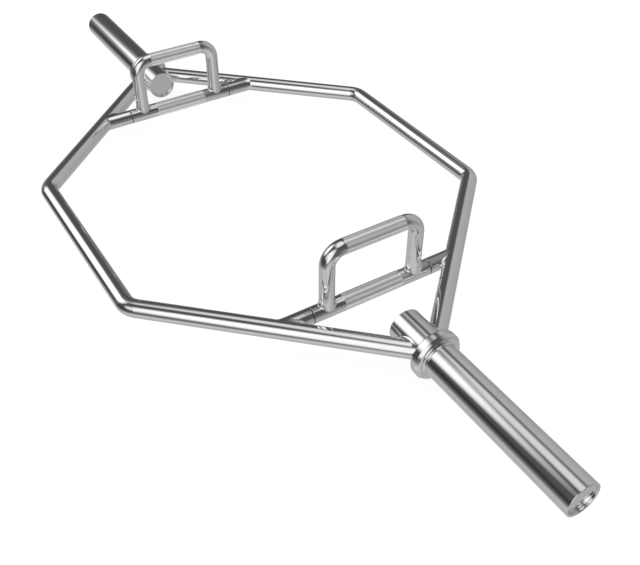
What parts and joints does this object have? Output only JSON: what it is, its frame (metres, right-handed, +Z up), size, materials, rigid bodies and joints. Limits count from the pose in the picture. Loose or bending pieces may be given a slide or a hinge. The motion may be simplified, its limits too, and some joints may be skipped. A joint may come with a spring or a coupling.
{
  "type": "hex trap bar",
  "caption": "Hex trap bar: a hexagonal ring to stand in, a plate-loading sleeve with a collar at each end, and turning handles with knurled low and raised grips.",
  "frame": {"origin": "on the floor under the middle of the ring, where the bar rests on its two collars", "axes": "+X along the sleeves towards the right handle, +Y to the rear bar of the ring, +Z up"},
  "size_m": [1.431, 0.6242, 0.1453],
  "materials": {
    "frame_chrome": "bright chrome plate on bent bar",
    "sleeve_chrome": "bright chrome plate on turned tube",
    "plug_chrome": "satin chrome plate",
    "grip_chrome": "bright chrome plate with a knurled middle",
    "bush_black": "black acetal",
    "axle_steel": "drawn steel rod"
  },
  "bodies": {
    "frame": {"front_frame_bar": "frame_chrome", "rear_frame_bar": "frame_chrome", "left_sleeve_tube": "sleeve_chrome", "left_sleeve_collar": "sleeve_chrome", "left_inner_plug": "plug_chrome", "left_outer_plug": "plug_chrome", "left_axle": "axle_steel", "left_front_stub": "frame_chrome", "left_rear_stub": "frame_chrome", "right_sleeve_tube": "sleeve_chrome", "right_sleeve_collar": "sleeve_chrome", "right_inner_plug": "plug_chrome", "right_outer_plug": "plug_chrome", "right_axle": "axle_steel", "right_front_stub": "frame_chrome", "right_rear_stub": "frame_chrome"},
    "left_handle": {"left_lower_grip": "grip_chrome", "left_front_bush": "bush_black", "left_rear_bush": "bush_black", "left_raised_grip": "grip_chrome"},
    "right_handle": {"right_lower_grip": "grip_chrome", "right_front_bush": "bush_black", "right_rear_bush": "bush_black", "right_raised_grip": "grip_chrome"}
  },
  "joints": [
    {"name": "left_handle_turn", "type": "hinge", "parent": "frame", "child": "left_handle", "pos_m": [-0.31056, 0, 0.036], "axis": [0, -1, 0], "range_deg": [-247, 67]},
    {"name": "right_handle_turn", "type": "hinge", "parent": "frame", "child": "right_handle", "pos_m": [0.31056, 0, 0.036], "axis": [0, 1, 0], "range_deg": [-247, 67]}
  ]
}
